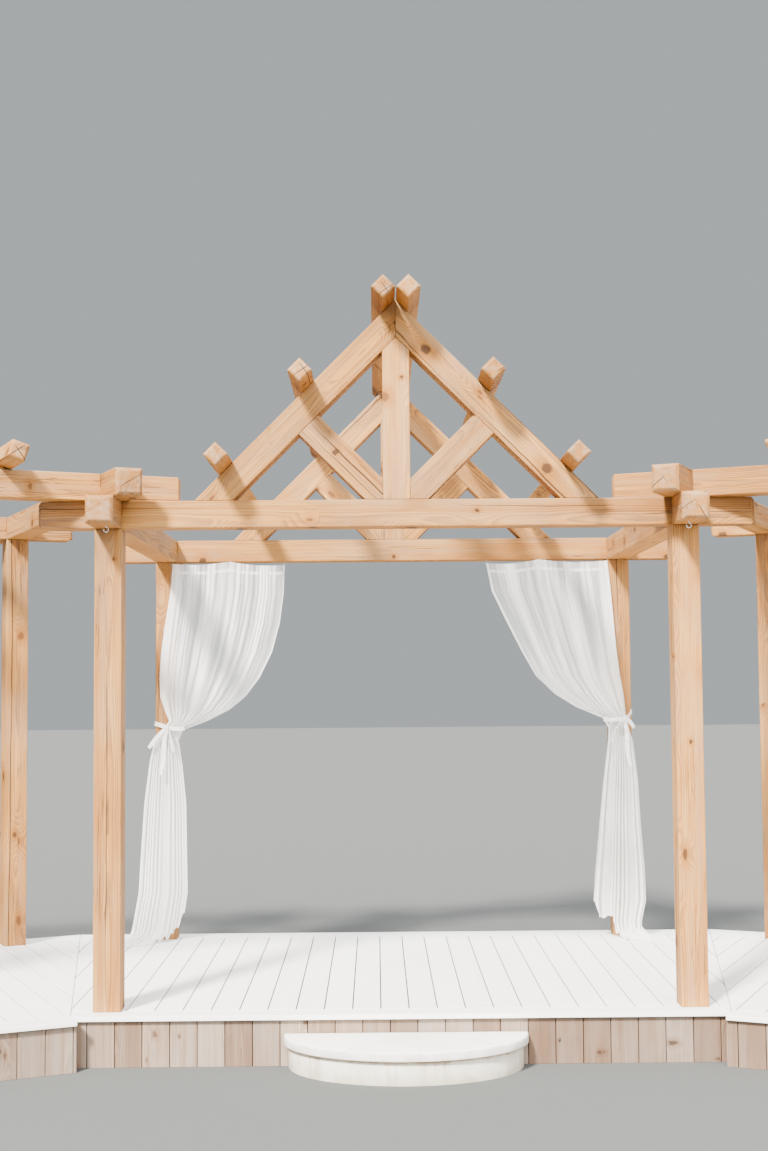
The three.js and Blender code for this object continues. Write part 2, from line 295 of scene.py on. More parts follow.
# %% Drying checks
CHECK_TURN = 0.6                      # keeps the planes of the cracks off the faces of a timber
CHECK_WIDTH, LEAST_CHECK = 0.0028, 0.0002


def checks_in(look, log, grown, checks):
    """Long cracks on two planes through the heart line, and hair cracks between them."""
    jagged = look.vector("ADD", grown, look.stray(log, (6, 9, 9), 0.006, detail=3.0, rough=0.7))
    turned_log = look.node("ShaderNodeMapping", {"Vector": jagged, "Rotation": (CHECK_TURN, 0, 0)})
    planes = look.split(look.vector("ABSOLUTE", turned_log.outputs[0]))
    opening = look.noise(grown, (0.60, 9, 9), detail=1.0)
    opening = look.between(opening, 0.46, 0.61, 0.0, CHECK_WIDTH * checks)
    gap = look.sum("MINIMUM", planes[1], planes[2])
    check = look.between(gap, look.times(opening, 0.55), opening, 1.0, 0.0)
    check = look.times(check, look.sum("GREATER_THAN", opening, LEAST_CHECK))
    hair = look.noise(log, (1.6, 75, 75), detail=2.0)
    hair = look.between(look.sum("ABSOLUTE", look.less(hair, 0.5)), 0.004, 0.014, 1.0, 0.0)
    some = look.between(look.noise(log, (1.3, 9, 9), detail=1.0), 0.55, 0.62)
    hair = look.times(hair, look.times(some, 0.60 * checks))
    return look.sum("MAXIMUM", check, hair)


# %% Timber material
RING = 0.0052                         # the growth of one year


def timber_look(name, pale, honey, dark, grey, greying, checks=1.0, knots=1.0,
                tints=((0.84, 0.82, 0.80), (1.13, 1.12, 1.10))):
    """Sawn softwood. greying is how much of the weathered colour the sunny faces take."""
    look = Look(name)
    log = look.attribute("log", "Vector")
    tint = look.attribute("tint", "Fac")

    grown = look.vector("ADD", log, look.stray(log, (0.55, 2.4, 2.4), 0.045))
    grown = look.vector("ADD", grown, look.stray(log, (3.2, 9, 9), 0.007))
    level = look.vector("MULTIPLY", grown, (0, 1, 1))
    radius = look.size(level)
    ray = look.vector("NORMALIZE", level)
    knot, halo, swirl, core_tone = knots_in(look, log, grown, radius, ray, KNOT_SIZE * knots)
    bent = look.plus(radius, look.times(swirl, 1.3))
    year = look.sum("FRACT", look.times(bent, 1 / RING))
    late_wood = look.times(look.between(year, 0.15, 0.86), look.between(year, 0.995, 0.90))

    fibre = look.noise(log, (5, 300, 300), detail=2.0)
    streak = look.noise(log, (1.0, 42, 42), detail=4.0, rough=0.65)
    patch = look.noise(log, (1.3, 6, 6), detail=3.0, rough=0.6)

    wood = look.over(pale, honey, streak, 0.32, 0.70)
    wood = look.over(wood, honey, patch, 0.40, 0.66, 0.80)
    ring_strength = look.times(late_wood, look.between(patch, 0.25, 0.75, 0.35, 0.80))
    wood = look.mixed(ring_strength, wood, dark)
    wood = look.over(wood, dark, fibre, 0.42, 0.80, 0.50)

    up = look.split(look.facing())[2]
    cloud = look.noise(look.place(), 2.3, detail=4.0, rough=0.6)
    washed = look.noise(log, (0.9, 24, 24), detail=4.0, rough=0.6)
    weather = look.between(look.plus(cloud, washed), 0.84, 1.24)
    sunny = look.times(look.between(up, -0.6, 0.9, 0.10, 1.0), greying)
    wood = look.mixed(look.times(sunny, look.plus(weather, 0.35), clamp=True), wood, grey)
    # Painted light: faces turned down take honey, standing in for warm light bounced up from the white
    # deck.
    wood = look.over(wood, honey, up, -0.3, -0.9, 0.45)

    rim_colour = look.mixed(0.5, honey, dark)
    wood = look.mixed(look.times(halo, 0.65), wood, rim_colour)
    core = look.over(dark, [c * 0.36 for c in dark], core_tone, 0.25, 0.60)
    wood = look.mixed(look.times(knot, 0.92), wood, core)

    crack = checks_in(look, log, grown, checks)
    end = look.between(look.across_grain(), 0.45, 0.80)
    stain = look.noise(log, (1, 22, 22), detail=4.0, rough=0.65)
    end_colour = look.over(grey, rim_colour, stain, 0.35, 0.65)
    wood = look.mixed(look.times(end, 0.60), wood, end_colour)

    wood = look.mixed(look.times(crack, 0.92), wood, [c * 0.28 for c in dark])
    wood = look.mixed(1.0, wood, look.mixed(tint, *tints), "MULTIPLY")

    height = look.less(look.times(fibre, 0.7), late_wood)
    relief = look.bump(height, 0.00035, 0.6)
    relief = look.bump(look.less(1.0, crack), 0.004, 0.9, after=relief)
    rough = look.between(streak, 0.2, 0.8, 0.60, 0.80)
    return look.done(Base_Color=wood, Roughness=rough, Normal=relief, Specular_IOR_Level=0.25)


timber = timber_look("oiled_timber", pale=(0.56, 0.280, 0.060), honey=(0.42, 0.162, 0.018),
                     dark=(0.13, 0.046, 0.009), grey=(0.28, 0.200, 0.135), greying=0.80)
print("timber nodes:", len(timber.node_tree.nodes))

# %% [markdown]
# ## Timbers with eased edges
#
# A sawn timber is never sharp: its edges are planed off by a few millimetres, and that thin bright
# line is what makes a joint read as two pieces. Each post, beam, rafter and purlin starts as a merged
# copy of its solid, so that every lap and bevel stays where it is, and its sharp edges get a small
# rounded bevel. The longest straight edge of a piece tells which way its grain runs.

# %% Helpers for shaped pieces
MERGE = 1e-5
FLAT = math.radians(1)
SHARP = math.radians(20)


def merged_copy(node):
    """A solid's shape as one clean mesh: doubles merged, flat faces whole."""
    mesh = bmesh.new()
    mesh.from_mesh(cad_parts[node].data)
    bmesh.ops.remove_doubles(mesh, verts=mesh.verts, dist=MERGE)
    bmesh.ops.dissolve_limit(mesh, angle_limit=FLAT, verts=mesh.verts, edges=mesh.edges)
    return mesh


def ease_edges(mesh, width, segments=2, edges=None):
    """Rounds these edges by this much, or else every sharp edge."""
    edges = edges or [e for e in mesh.edges if e.is_manifold and e.calc_face_angle() > SHARP]
    bmesh.ops.bevel(mesh, geom=edges, offset=width, offset_type="OFFSET", segments=segments,
                    profile=0.5, affect="EDGES", clamp_overlap=True, material=-1)


def add_to(mesh, part):
    """Adds one bmesh to another, and frees it."""
    data = bpy.data.meshes.new("part")
    part.to_mesh(data)
    part.free()
    mesh.from_mesh(data)
    bpy.data.meshes.remove(data)


def islands(mesh):
    """The loose parts of a mesh, as lists of vertices."""
    seen, parts = set(), []
    for start in mesh.verts:
        if start in seen:
            continue
        seen.add(start)
        part, todo = [], [start]
        while todo:
            vertex = todo.pop()
            part.append(vertex)
            for edge in vertex.link_edges:
                other = edge.other_vert(vertex)
                if other not in seen:
                    seen.add(other)
                    todo.append(other)
        parts.append(part)
    return parts


GRAIN_LEAN = Vector((1.0, 0.7, -0.4))   # the grain takes the one of an edge's two ways nearer this
LOG_LENGTH = 50
HEART_LEAST, HEART_MOST = 0.008, 0.150  # how far a log's heart line lies from the piece's middle


def longest_way(part):
    """The direction of a part's longest straight edge, the same one in every run."""
    edges = [edge for vertex in part for edge in vertex.link_edges]
    best = max(edges, key=lambda edge: round(edge.calc_length(), 4))
    way = (best.verts[1].co - best.verts[0].co).normalized()
    return way if way.dot(GRAIN_LEAN) > 0 else -way


def give_grain(mesh, seed, along=None):
    """Writes each loose part's own place in a log, grain direction and tint into the mesh."""
    log = mesh.verts.layers.float_vector.new("log")
    grain_way = mesh.verts.layers.float_vector.new("grain_way")
    tint = mesh.verts.layers.float.new("tint")
    chance = random.Random(seed)
    for part in islands(mesh):
        way = Vector(along) if along else longest_way(part)
        side = way.orthogonal().normalized() if abs(way.z) > 0.9 else way.cross((0, 0, 1)).normalized()
        third = way.cross(side)
        middle = sum((v.co for v in part), Vector()) / len(part)
        angle = chance.uniform(0, 2 * math.pi)
        reach = HEART_LEAST + (HEART_MOST - HEART_LEAST) * chance.random() ** 2.5
        start = chance.uniform(-LOG_LENGTH, LOG_LENGTH)
        shift = Vector((start, reach * math.cos(angle), reach * math.sin(angle)))
        own_tint = chance.random()
        for vertex in part:
            out = vertex.co - middle
            vertex[log] = Vector((out.dot(way), out.dot(side), out.dot(third))) + shift
            vertex[grain_way] = way
            vertex[tint] = own_tint


def piece_from(mesh, name, slot, material, *nodes):
    """Turns a finished bmesh into a piece that stands for these solids."""
    data = bpy.data.meshes.new(name)
    mesh.to_mesh(data)
    mesh.free()
    data.materials.append(material)
    piece = stand(name, data)
    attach(piece, "root")
    if nodes:
        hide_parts(*nodes)
    return piece


# %% [markdown]
# Here is every timber in one loop. The seed is the piece's place in the list, so that each one has
# its own heart line, but the same one in every run.

# %% Posts, beams, rafters and purlins
TIMBER_EASE = 0.0045
SOFT_OR_FLAT = ("curtain", "deck", "step")
timbers = [name for name in sorted(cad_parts) if not name.startswith(SOFT_OR_FLAT)]
for seed, name in enumerate(timbers):
    shape = merged_copy(name)
    ease_edges(shape, TIMBER_EASE)
    give_grain(shape, seed)
    piece_from(shape, f"{name}_timber", "timber", timber, name)
print("timbers:", len(timbers))

# %% [markdown]
# ## Setting out
#
# The deck follows the bays, so the bays' sizes are read off the posts: the row of front posts, the
# bays' depth, and the angle at which a wing turns forward. `wing_matrix` takes a place in a wing's
# own square frame, X outwards and Y to the rear, to the frame of the whole.

# %% Sizes taken from the posts


def middle_of(node):
    low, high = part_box(node)
    return (low + high) / 2


corner_post = middle_of("post_front_right")
CORNER, FRONT_ROW = corner_post.x, corner_post.y
BAY_DEPTH = middle_of("post_rear_right").y - FRONT_ROW
HALF_TIMBER = (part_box("post_front_right")[1].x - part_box("post_front_right")[0].x) / 2
wing_reach = middle_of("wing_right_post_outer_front") - corner_post
WING_ANGLE = -math.atan2(wing_reach.y, wing_reach.x)
DECK_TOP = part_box("deck_centre")[1].z
DECK_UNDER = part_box("deck_centre")[0].z
print("bay:", round(2 * CORNER, 3), "x", round(BAY_DEPTH, 3), "wing turns",
      round(math.degrees(WING_ANGLE), 2), "degrees, deck top", round(DECK_TOP, 3))


def wing_matrix(side):
    """From a wing's frame to the whole's. side is 1 for the right wing and -1 for the left."""
    turn = Matrix.Translation((CORNER, FRONT_ROW, 0)) @ Matrix.Rotation(-WING_ANGLE, 4, "Z")
    return Matrix.Scale(side, 4, (1, 0, 0)) @ turn


def outline_corners(node):
    """A flat solid's corners as seen from above, from the front ones to the rear ones."""
    shape = merged_copy(node)
    found = {(round(v.co.x, 4), round(v.co.y, 4)) for v in shape.verts}
    shape.free()
    return sorted((Vector((x, y, 0)) for x, y in found), key=lambda p: p.y)


# %% [markdown]
# ## White deck boards
#
# The deck is laid from boards painted white, front to back, with one board as a border along the
# front and rear, and thin dark gaps between them. Each section is a row of boxes. A cut along the
# mitre trims the boards that cross it, which is how a joiner does it too: lay long, then saw off.
# Paint hides the colour of the wood, but the grain's ridges, dust and worn patches show. Down in the
# gaps the boards' sides are painted dark, as painted shade.

# %% Painted wood material


def painted_look(name, paint, dust, wear):
    look = Look(name)
    log = look.attribute("log", "Vector")
    tint = look.attribute("tint", "Fac")
    fibre = look.noise(log, (3, 110, 110), detail=3.0)
    streak = look.noise(log, (1.2, 26, 26), detail=4.0, rough=0.6)
    cloud = look.noise(look.place(), 1.7, detail=4.0, rough=0.6)
    speck = look.noise(look.place(), 60, detail=2.0)
    colour = look.over(paint, dust, streak, 0.40, 0.78, 0.45)
    colour = look.over(colour, dust, cloud, 0.45, 0.72, 0.35)
    colour = look.over(colour, wear, fibre, 0.62, 0.80, 0.22)
    colour = look.over(colour, wear, speck, 0.72, 0.80, 0.25)
    tinted = look.mixed(tint, (0.93, 0.93, 0.925), (1.0, 1.0, 1.0))
    colour = look.mixed(1.0, colour, tinted, "MULTIPLY")
    # Painted shade: the boards' sides low down in the gaps go near black, except at the wings' outer
    # ends.
    in_gap = look.between(look.across_grain(), 0.55, 0.80, 1.0, 0.0)
    deep = look.between(look.split(look.place())[2], DECK_TOP - 0.008, DECK_TOP - 0.002, 1.0, 0.0)
    painted_gap_shade = look.times(look.times(in_gap, deep),
                          look.less(0.9, look.attribute("outer_end", "Fac")), clamp=True)
    colour = look.mixed(painted_gap_shade, colour, (0.075, 0.070, 0.062))
    relief = look.bump(look.plus(fibre, streak), 0.0007, 0.6)
    rough = look.between(cloud, 0.3, 0.7, 0.42, 0.62)
    return look.done(Base_Color=colour, Roughness=rough, Normal=relief, Specular_IOR_Level=0.4)


white_paint = painted_look("white_deck_paint", paint=(0.88, 0.88, 0.865), dust=(0.76, 0.755, 0.735),
                           wear=(0.60, 0.56, 0.50))

# %% [markdown]
# A board is a cube that is scaled and moved into place. `lay_boards` fills a stretch of the deck with
# them, `saw` cuts along a vertical plane and closes the cut ends, and the edges are eased last.

# %% Deck helpers
GAP = 0.006
BOARD_EASE = 0.0025
BORDER = 0.140


def add_box(mesh, low, high):
    low, high = Vector(low), Vector(high)
    made = bmesh.ops.create_cube(mesh, size=1)["verts"]
    bmesh.ops.scale(mesh, verts=made, vec=high - low)
    bmesh.ops.translate(mesh, verts=made, vec=(low + high) / 2)
    return made


def saw(mesh, point, off_side):
    """Cuts the mesh through a point and drops what lies on the off_side, with the cut ends closed."""
    parts = mesh.verts[:] + mesh.edges[:] + mesh.faces[:]
    cut = bmesh.ops.bisect_plane(mesh, geom=parts, dist=MERGE, plane_co=point, plane_no=off_side,
                                 clear_outer=True)["geom_cut"]
    bmesh.ops.holes_fill(mesh, edges=[e for e in cut if isinstance(e, bmesh.types.BMEdge)])


def lay_boards(mesh, lines, front, rear):
    """Boards from front to rear between these gap lines, and a border board across their rear ends."""
    for left, right in zip(lines, lines[1:]):
        add_box(mesh, (left + GAP / 2, front, DECK_UNDER),
                (right - GAP / 2, rear - BORDER - GAP, DECK_TOP))
    add_box(mesh, (lines[0], rear - BORDER, DECK_UNDER), (lines[-1], rear, DECK_TOP))


def gap_lines(first, pitch, low, high):
    """Where the gaps fall that cover a stretch from low to high, with one board spare at each end."""
    start = math.floor((low - first) / pitch) - 1
    end = math.ceil((high - first) / pitch) + 1
    return [first + n * pitch for n in range(start, end + 1)]


def off_side(start, end):
    """The level direction to the right of the way from start to end."""
    way = (end - start).normalized()
    return Vector((way.y, -way.x, 0))


# %% [markdown]
# The gap lines lie where the picture shows them, 41 mm off the centre line in the middle section. Its
# end is sawn twice: square to the wing for the depth of the front border, then along the mitre. A
# wing's front border starts square at that first cut, so it is a board of its own and isn't mitred.

# %% Centre deck
CENTRE_PITCH, CENTRE_LINE = 0.1429, 0.041
CENTRE_SEED, WING_SEED, SKIRT_SEED = 200, 210, 230
deck_front, deck_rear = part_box("deck_centre")[0].y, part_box("deck_centre")[1].y
end_front, end_turn, end_rear = [p for p in outline_corners("deck_centre") if p.x > 0]

deck = bmesh.new()
lines = gap_lines(CENTRE_LINE, CENTRE_PITCH, -end_rear.x, end_rear.x)
lay_boards(deck, lines, deck_front + BORDER + GAP, deck_rear)
add_box(deck, (lines[0], deck_front, DECK_UNDER), (lines[-1], deck_front + BORDER, DECK_TOP))
for start, end in ((end_front, end_turn), (end_turn, end_rear)):
    way_off = off_side(start, end)
    saw(deck, start, way_off)
    saw(deck, Vector((-start.x, start.y, 0)), Vector((-way_off.x, way_off.y, 0)))
ease_edges(deck, BOARD_EASE)
give_grain(deck, CENTRE_SEED, along=(0, 1, 0))
piece_from(deck, "deck_centre_boards", "deck_boards", white_paint, "deck_centre")
print("centre boards:", len(lines) - 1, "half its width:", round(end_turn.x, 3))

# %% Wing decks
WING_PITCH, WING_LINE = 0.145, 0.085
WING_SPARE = 0.75                     # boards laid past the mitre, before it is sawn
wing_edge = outline_corners("deck_right")
in_wing = [wing_matrix(1).inverted() @ p for p in wing_edge]
WING_FRONT, WING_REAR = min(p.y for p in in_wing), max(p.y for p in in_wing)
WING_START = min(p.x for p in in_wing if p.y < WING_FRONT + BORDER + MERGE * 100)
WING_END = max(p.x for p in in_wing)
wing_turn = wing_matrix(1) @ Vector((WING_START, WING_FRONT + BORDER, 0))
wing_rear_corner = min((p for p in wing_edge if p.y > wing_turn.y + 1), key=lambda p: p.x)

for side, hand in ((1, "right"), (-1, "left")):
    deck = bmesh.new()
    lines = gap_lines(WING_LINE, WING_PITCH, -WING_SPARE, WING_END)
    lay_boards(deck, lines, WING_FRONT + BORDER + GAP, WING_REAR)
    saw(deck, (WING_END, 0, 0), (1, 0, 0))
    # Marks the boards' outer ends, which the painted gap shade in the material leaves clean.
    outer_end = deck.verts.layers.float.new("outer_end")
    for vertex in deck.verts:
        vertex[outer_end] = 1.0 if vertex.co.x > WING_END - MERGE else 0.0
    bmesh.ops.transform(deck, matrix=wing_matrix(1), verts=deck.verts)
    saw(deck, wing_turn, -off_side(wing_turn, wing_rear_corner))
    border = add_box(deck, (WING_START, WING_FRONT, DECK_UNDER),
                     (WING_END, WING_FRONT + BORDER, DECK_TOP))
    bmesh.ops.transform(deck, matrix=wing_matrix(1), verts=border)
    if side < 0:
        bmesh.ops.scale(deck, verts=deck.verts, vec=(-1, 1, 1))
    bmesh.ops.recalc_face_normals(deck, faces=deck.faces)
    ease_edges(deck, BOARD_EASE)
    boards_way = wing_matrix(side).to_3x3() @ Vector((0, 1, 0))
    give_grain(deck, WING_SEED + side, along=boards_way.normalized())
    piece_from(deck, f"deck_{hand}_boards", "deck_boards", white_paint, f"deck_{hand}")
print("wing deck:", round(WING_START, 3), round(WING_END, 3), round(WING_FRONT, 3), round(WING_REAR, 3))

# %% [markdown]
# ## Weathered skirt
#
# Upright cedar boards close the space under the deck. They are bare, so sun and rain have turned
# them pinkish grey. Each wall is a row of boxes set out along X and then turned to its place. A
# vertical cut through each corner mitres the row that meets its neighbour.

# %% Skirt boards
SKIRT_PITCH, SKIRT_LINE, SKIRT_GAP = 0.1372, -0.056, 0.004
SKIRT_THICKNESS, SKIRT_INSET, SKIRT_EASE = 0.022, 0.025, 0.002
PART_BOARD = 0.4                      # how much of a board starts each wall but the front one
SKIRT_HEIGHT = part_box("deck_skirt")[1].z

grey_cedar = timber_look("weathered_cedar", pale=(0.34, 0.240, 0.162), honey=(0.24, 0.146, 0.088),
                         dark=(0.09, 0.048, 0.028), grey=(0.30, 0.266, 0.232), greying=0.95,
                         checks=0.05, knots=0.45, tints=((0.56, 0.47, 0.41), (1.06, 1.09, 1.12)))


def where_meets(y, point, way):
    """The place on a line through point along way that has this y."""
    return point + way * ((y - point.y) / way.y)


to_whole = wing_matrix(1)
wing_x, wing_y = to_whole.to_3x3() @ Vector((1, 0, 0)), to_whole.to_3x3() @ Vector((0, 1, 0))
deck_end = to_whole.inverted() @ end_turn
skirt_turn = to_whole @ Vector((deck_end.x, WING_FRONT + SKIRT_INSET, 0))
outer_front = to_whole @ Vector((WING_END - SKIRT_INSET, WING_FRONT + SKIRT_INSET, 0))
outer_rear = to_whole @ Vector((WING_END - SKIRT_INSET, WING_REAR - SKIRT_INSET, 0))
half_ring = [where_meets(deck_front + SKIRT_INSET, skirt_turn, wing_y), skirt_turn, outer_front,
             outer_rear, where_meets(deck_rear - SKIRT_INSET, outer_rear, wing_x)]
ring = half_ring + [Vector((-p.x, p.y, 0)) for p in reversed(half_ring)]

skirt = bmesh.new()
for n, start in enumerate(ring):
    end, before, after = ring[(n + 1) % len(ring)], ring[n - 1], ring[(n + 2) % len(ring)]
    way = (end - start).normalized()
    length = (end - start).length
    first = SKIRT_LINE - start.x if n == len(ring) - 1 else SKIRT_PITCH * PART_BOARD
    wall = bmesh.new()
    lines = gap_lines(first, SKIRT_PITCH, -SKIRT_THICKNESS * 2, length + SKIRT_THICKNESS * 2)
    for left, right in zip(lines, lines[1:]):
        add_box(wall, (left + SKIRT_GAP / 2, 0, 0),
                (right - SKIRT_GAP / 2, SKIRT_THICKNESS, SKIRT_HEIGHT))
    turn = Matrix((way, -off_side(start, end), (0, 0, 1))).transposed().to_4x4()
    bmesh.ops.transform(wall, matrix=Matrix.Translation(start) @ turn, verts=wall.verts)
    saw(wall, start, -(way + (start - before).normalized()))
    saw(wall, end, way + (after - end).normalized())
    ease_edges(wall, SKIRT_EASE)
    give_grain(wall, SKIRT_SEED + n, along=(0, 0, 1))
    add_to(skirt, wall)
piece_from(skirt, "skirt_boards", "skirt_boards", grey_cedar, "deck_skirt")
print("skirt ring:", [[round(v, 3) for v in p[:2]] for p in half_ring])

# %% [markdown]
# ## Half-round step
#
# The step is one precast half-round block: a cream riser and a thicker, paler tread that overhangs
# it. The tread's upper edge is worn round, and its lower edge is crisp, with an ochre band along under
# it.

# %% Concrete material and step
step_low, step_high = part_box("step")
STEP_LIP, STEP_OVERHANG = 0.045, 0.025
TREAD_EASE, RISER_EASE, STEP_EASE = 0.012, 0.002, 0.0015
RISER_LET_IN = 0.004
lip_under = step_high.z - STEP_LIP


def concrete_look():
    look = Look("cast_concrete")
    place = look.place()
    cloud = look.noise(place, 3.4, detail=5.0, rough=0.65)
    blotch = look.noise(place, 9.0, detail=4.0, rough=0.7)
    grain = look.noise(place, 90, detail=3.0)
    pit = look.node("ShaderNodeTexVoronoi", {"Vector": place, "Scale": 55.0}).outputs["Distance"]
    height = look.split(place)[2]
    up = look.split(look.facing())[2]
    colour = look.over((0.78, 0.74, 0.64), (0.62, 0.58, 0.48), cloud, 0.32, 0.68)
    colour = look.over(colour, (0.44, 0.39, 0.30), blotch, 0.48, 0.72, 0.6)
    lip = look.between(height, lip_under - 0.002, lip_under + 0.004)
    lip_colour = look.over((0.78, 0.765, 0.73), (0.60, 0.58, 0.53), blotch, 0.35, 0.7)
    colour = look.mixed(lip, colour, lip_colour)
    low_dirt = look.times(look.between(height, 0.0, 0.07, 1, 0), look.between(cloud, 0.3, 0.6, 0.3, 1))
    colour = look.mixed(look.times(low_dirt, 0.55), colour, (0.40, 0.33, 0.24))
    runs = look.noise(place, (13, 13, 1.1), detail=4.0, rough=0.7)
    streaks = look.times(look.between(runs, 0.50, 0.72, 0.0, 0.75), look.less(1.0, lip))
    colour = look.mixed(streaks, colour, (0.40, 0.36, 0.28))
    # An ochre band on the riser just under the tread and on the tread's lowest 7 mm, reaching further
    # where runs are strong.
    under_lip_reach = look.between(runs, 0.35, 0.70, 0.012, 0.034)
    under_lip_band = look.times(look.between(height, look.less(lip_under, under_lip_reach), lip_under - 0.004),
                      look.between(height, lip_under, lip_under + 0.007, 1, 0))
    colour = look.mixed(look.times(under_lip_band, look.between(cloud, 0.3, 0.7, 0.70, 1.0)), colour,
                        (0.30, 0.185, 0.085))
    colour = look.over(colour, (0.52, 0.48, 0.40), grain, 0.55, 0.78, 0.30)
    tread = look.over((0.87, 0.86, 0.82), (0.70, 0.665, 0.59), cloud, 0.42, 0.70, 0.7)
    trowel = look.noise(place, (2.5, 34, 1), detail=4.0, rough=0.65)
    tread = look.over(tread, (0.58, 0.55, 0.49), trowel, 0.50, 0.72, 0.5)
    pits = look.noise(place, (17, 30, 1), detail=1.0)
    tread = look.over(tread, (0.25, 0.23, 0.19), pits, 0.74, 0.79, 0.8)
    colour = look.over(colour, tread, up, 0.6, 0.95)
    relief = look.bump(look.between(pit, 0.0, 0.18), 0.0012, 0.5)
    relief = look.bump(grain, 0.0008, 0.6, after=relief)
    rough = look.between(cloud, 0.3, 0.7, 0.75, 0.9)
    return look.done(Base_Color=colour, Roughness=rough, Normal=relief)


concrete = concrete_look()


def half_round(inset, low, high, top_ease):
    """A half ellipse, flat side to the rear, as a solid with its edges eased."""
    width, depth = (step_high.x - step_low.x) / 2 - inset, step_high.y - step_low.y - inset
    block = bmesh.new()
    bmesh.ops.create_circle(block, segments=192, radius=1, cap_ends=True)
    bmesh.ops.scale(block, verts=block.verts, vec=(width, depth, 1))
    saw(block, (0, 0, 0), (0, 1, 0))
    raised = bmesh.ops.extrude_face_region(block, geom=block.faces[:])["geom"]
    bmesh.ops.translate(block, verts=[v for v in raised if isinstance(v, bmesh.types.BMVert)],
                        vec=(0, 0, high - low))
    bmesh.ops.translate(block, verts=block.verts,
                        vec=((step_low.x + step_high.x) / 2, step_high.y, low))
    bmesh.ops.recalc_face_normals(block, faces=block.faces)
    rim = [e for e in block.edges if all(abs(v.co.z - high) < MERGE for v in e.verts)]
    ease_edges(block, top_ease, 5, rim)
    ease_edges(block, STEP_EASE)
    return block


step = half_round(0, lip_under, step_high.z, TREAD_EASE)
add_to(step, half_round(STEP_OVERHANG, step_low.z, lip_under + RISER_LET_IN, RISER_EASE))
for face in step.faces:
    face.smooth = True
piece_from(step, "half_round_step", "step_concrete", concrete, "step")
print("step:", [round(v, 3) for v in step_high - step_low])

# %% [markdown]
# ## Sheer curtains
#
# A sheer curtain is a flat rectangle of voile, gathered onto hooks at the top and pulled aside by a
# tie at breast height. Its threads keep their length, so the tied side hangs in a swoop, and the hem
# steps up towards the opening while the outer side trails on the deck. The cloth starts as a grid
# that is moved thread by thread: down the swoop to the tie, down again to its hem, and if it is long
# enough forward over the deck. Across the threads it is thrown into folds that use up its width.
#
# One layer of voile hides about two thirds of what is behind it. Where the cloth is gathered the
# layers lie on each other, so each point carries its closeness as an attribute that the material reads.

# %% Curtain outlines
CURTAIN_WIDTH, CURTAIN_LENGTH = 1.25, 2.70
CURTAIN_PLANE = FRONT_ROW + BAY_DEPTH - HALF_TIMBER
# Height above the deck and distance from the middle of the whole, inner and outer edge, then depth
RIGHT_OUTLINE = [(2.440, 0.614, 1.409, 0.026), (2.25, 0.650, 1.428, 0.036), (2.05, 0.742, 1.442, 0.048),
                 (1.85, 0.838, 1.456, 0.060), (1.68, 0.928, 1.474, 0.072), (1.56, 1.048, 1.494, 0.082),
                 (1.475, 1.184, 1.500, 0.088), (1.405, 1.352, 1.504, 0.090), (1.34, 1.390, 1.520, 0.092),
                 (1.257, 1.386, 1.546, 0.096), (1.0, 1.350, 1.574, 0.104), (0.73, 1.320, 1.586, 0.110),
                 (0.44, 1.288, 1.606, 0.118), (0.237, 1.272, 1.610, 0.126), (0.11, 1.285, 1.580, 0.130),
                 (0.0, 1.300, 1.578, 0.134)]
LEFT_OUTLINE = [(2.440, 0.704, 1.440, 0.026), (2.25, 0.708, 1.454, 0.036), (2.05, 0.736, 1.482, 0.048),
                (1.85, 0.792, 1.506, 0.060), (1.68, 0.876, 1.514, 0.072), (1.56, 0.966, 1.508, 0.080),
                (1.475, 1.068, 1.480, 0.086), (1.405, 1.210, 1.452, 0.090), (1.345, 1.370, 1.500, 0.090),
                (1.28, 1.396, 1.550, 0.094), (1.13, 1.374, 1.580, 0.100), (0.88, 1.348, 1.610, 0.106),
                (0.626, 1.342, 1.626, 0.112), (0.312, 1.334, 1.644, 0.120), (0.0, 1.380, 1.700, 0.134)]
RIGHT_PEAKS, LEFT_PEAKS = (0.614, 0.957, 1.405), (0.704, 1.070, 1.440)


def eased(value, low, high):
    """0 below low and 1 above high, with soft ends."""
    share = min(1, max(0, (value - low) / (high - low)))
    return share * share * (3 - 2 * share)


def outline_at(outline, height):
    """Inner edge, outer edge and depth at a height above the deck."""
    if height >= outline[0][0]:
        return outline[0][1:]
    for above, below in zip(outline, outline[1:]):
        if height >= below[0]:
            share = (height - below[0]) / (above[0] - below[0])
            return tuple(b + (a - b) * share for a, b in zip(above[1:], below[1:]))
    return outline[-1][1:]


# %% Cloth material
LIGHT_THROUGH = 0.42                  # how much of the cloth's light comes from its other side


